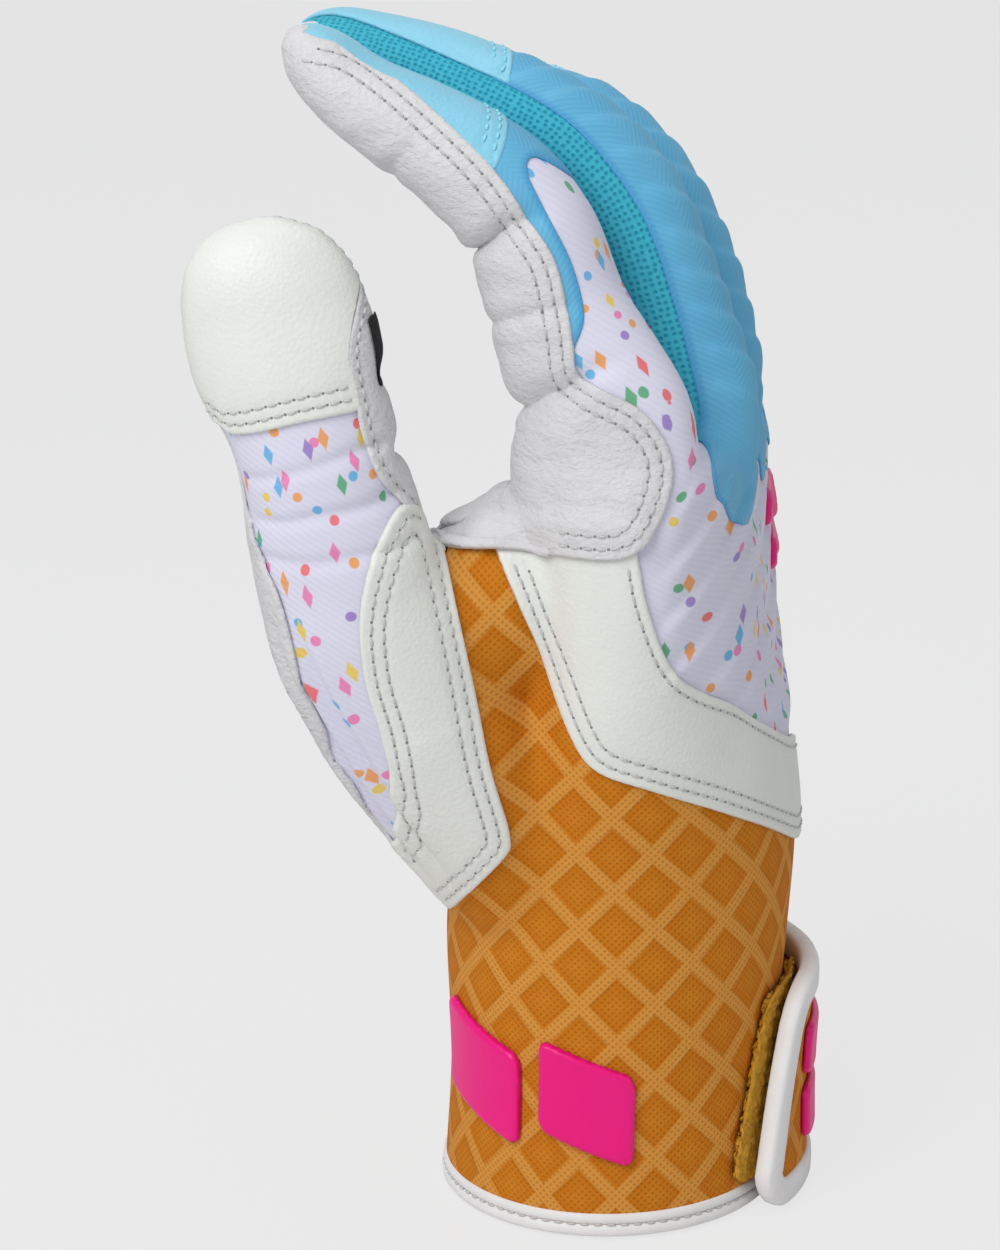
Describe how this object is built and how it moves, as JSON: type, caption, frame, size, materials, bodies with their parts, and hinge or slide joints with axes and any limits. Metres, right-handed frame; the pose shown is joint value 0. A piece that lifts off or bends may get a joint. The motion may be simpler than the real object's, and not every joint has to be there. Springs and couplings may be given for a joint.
{
  "type": "batting glove",
  "caption": "Right-hand batting glove of leather, stretch knit and mesh that stands on its hem, with bending finger and thumb stalls and a hook-and-loop wrist strap.",
  "frame": {"origin": "middle of the wrist opening, in the plane of the hem's bottom edge", "axes": "+Z from the hem towards the fingers, +X towards the back of the hand as pictured, +Y towards the little finger"},
  "size_m": [0.1021, 0.0918, 0.1961],
  "materials": {
    "white_leather": "fine grain, matt",
    "lavender_lycra": "stretch knit with printed confetti",
    "sky_lycra": "stretch twill",
    "turquoise_mesh": "spacer mesh",
    "pale_blue_synthetic": "smooth synthetic leather",
    "offwhite_leatherette": "smooth synthetic leather",
    "amber_knit": "padded knit with a diamond lattice",
    "white_binding": "folded binding tape",
    "white_elastic": "ribbed elastic",
    "pink_rubber": "moulded, satin",
    "tan_loop_pile": "loop pile",
    "black_hook_pile": "moulded hooks",
    "black_label": "woven, bare"
  },
  "bodies": {
    "hand": {"palm_leather": "white_leather", "hand_back": "lavender_lycra", "thumb_web": "white_leather", "thumb_base_back": "lavender_lycra", "thumb_base_palm": "white_leather", "back_overlay": "offwhite_leatherette", "thumb_overlay": "offwhite_leatherette", "cuff_sleeve": "amber_knit", "slit_gusset": "white_elastic", "hem_binding": "white_binding", "loop_patch": "tan_loop_pile", "strap_root": "amber_knit", "cuff_bar_left": "pink_rubber", "cuff_bar_right": "pink_rubber", "back_bar_high": "pink_rubber", "back_bar_low": "pink_rubber", "thumb_root_back": "lavender_lycra", "thumb_root_palm": "white_leather", "index_root_back": "lavender_lycra", "index_root_palm": "white_leather", "middle_root_back": "sky_lycra", "middle_root_palm": "white_leather", "ring_root_back": "sky_lycra", "ring_root_palm": "white_leather", "little_root_back": "sky_lycra", "little_root_palm": "white_leather"},
    "index_finger": {"index_palm": "white_leather", "index_back": "sky_lycra", "index_strip_farside": "turquoise_mesh", "index_cap": "pale_blue_synthetic"},
    "middle_finger": {"middle_palm": "white_leather", "middle_back": "sky_lycra", "middle_strip_thumbside": "turquoise_mesh", "middle_strip_farside": "turquoise_mesh", "middle_cap": "pale_blue_synthetic"},
    "ring_finger": {"ring_palm": "white_leather", "ring_back": "sky_lycra", "ring_strip_thumbside": "turquoise_mesh", "ring_strip_farside": "turquoise_mesh", "ring_cap": "pale_blue_synthetic"},
    "little_finger": {"little_palm": "white_leather", "little_back": "sky_lycra", "little_strip_thumbside": "turquoise_mesh", "little_cap": "pale_blue_synthetic"},
    "thumb": {"thumb_cap": "offwhite_leatherette", "thumb_back": "lavender_lycra", "thumb_palm": "white_leather", "thumb_label": "black_label"},
    "strap_back": {"strap_base": "amber_knit", "base_binding_low": "white_binding", "base_binding_high": "white_binding"},
    "strap_end": {"strap_tab": "amber_knit", "tab_binding": "white_binding", "hook_patch": "black_hook_pile", "strap_bar_high": "pink_rubber", "strap_bar_low": "pink_rubber"}
  },
  "joints": [
    {"name": "index_flex", "type": "hinge", "parent": "hand", "child": "index_finger", "pos_m": [-0.00251, -0.03132, 0.13636], "axis": [-0.2588, -0.9659, 0], "range_deg": [-20, 18], "deforming": ["index_root_back", "index_root_palm"]},
    {"name": "middle_flex", "type": "hinge", "parent": "hand", "child": "middle_finger", "pos_m": [0.00641, -0.01238, 0.13631], "axis": [-0.2588, -0.9659, 0], "range_deg": [-20, 18], "deforming": ["middle_root_back", "middle_root_palm"]},
    {"name": "ring_flex", "type": "hinge", "parent": "hand", "child": "ring_finger", "pos_m": [0.00856, 0.00837, 0.13631], "axis": [-0.2588, -0.9659, 0], "range_deg": [-20, 18], "deforming": ["ring_root_back", "ring_root_palm"]},
    {"name": "little_flex", "type": "hinge", "parent": "hand", "child": "little_finger", "pos_m": [0.00851, 0.02971, 0.13631], "axis": [-0.2588, -0.9659, 0], "range_deg": [-20, 18], "deforming": ["little_root_back", "little_root_palm"]},
    {"name": "thumb_flex", "type": "hinge", "parent": "hand", "child": "thumb", "pos_m": [-0.04639, -0.03624, 0.12457], "axis": [0.9732, 0, 0.23], "range_deg": [-18, 12], "deforming": ["thumb_root_back", "thumb_root_palm"]},
    {"name": "strap_open", "type": "hinge", "parent": "hand", "child": "strap_back", "pos_m": [0.00327, 0.0375, 0.019], "axis": [0, 0, 1], "range_deg": [0, 60]},
    {"name": "strap_peel", "type": "hinge", "parent": "strap_back", "child": "strap_end", "pos_m": [0.03237, 0.01441, 0.019], "axis": [0, 0, 1], "range_deg": [0, 75]}
  ]
}
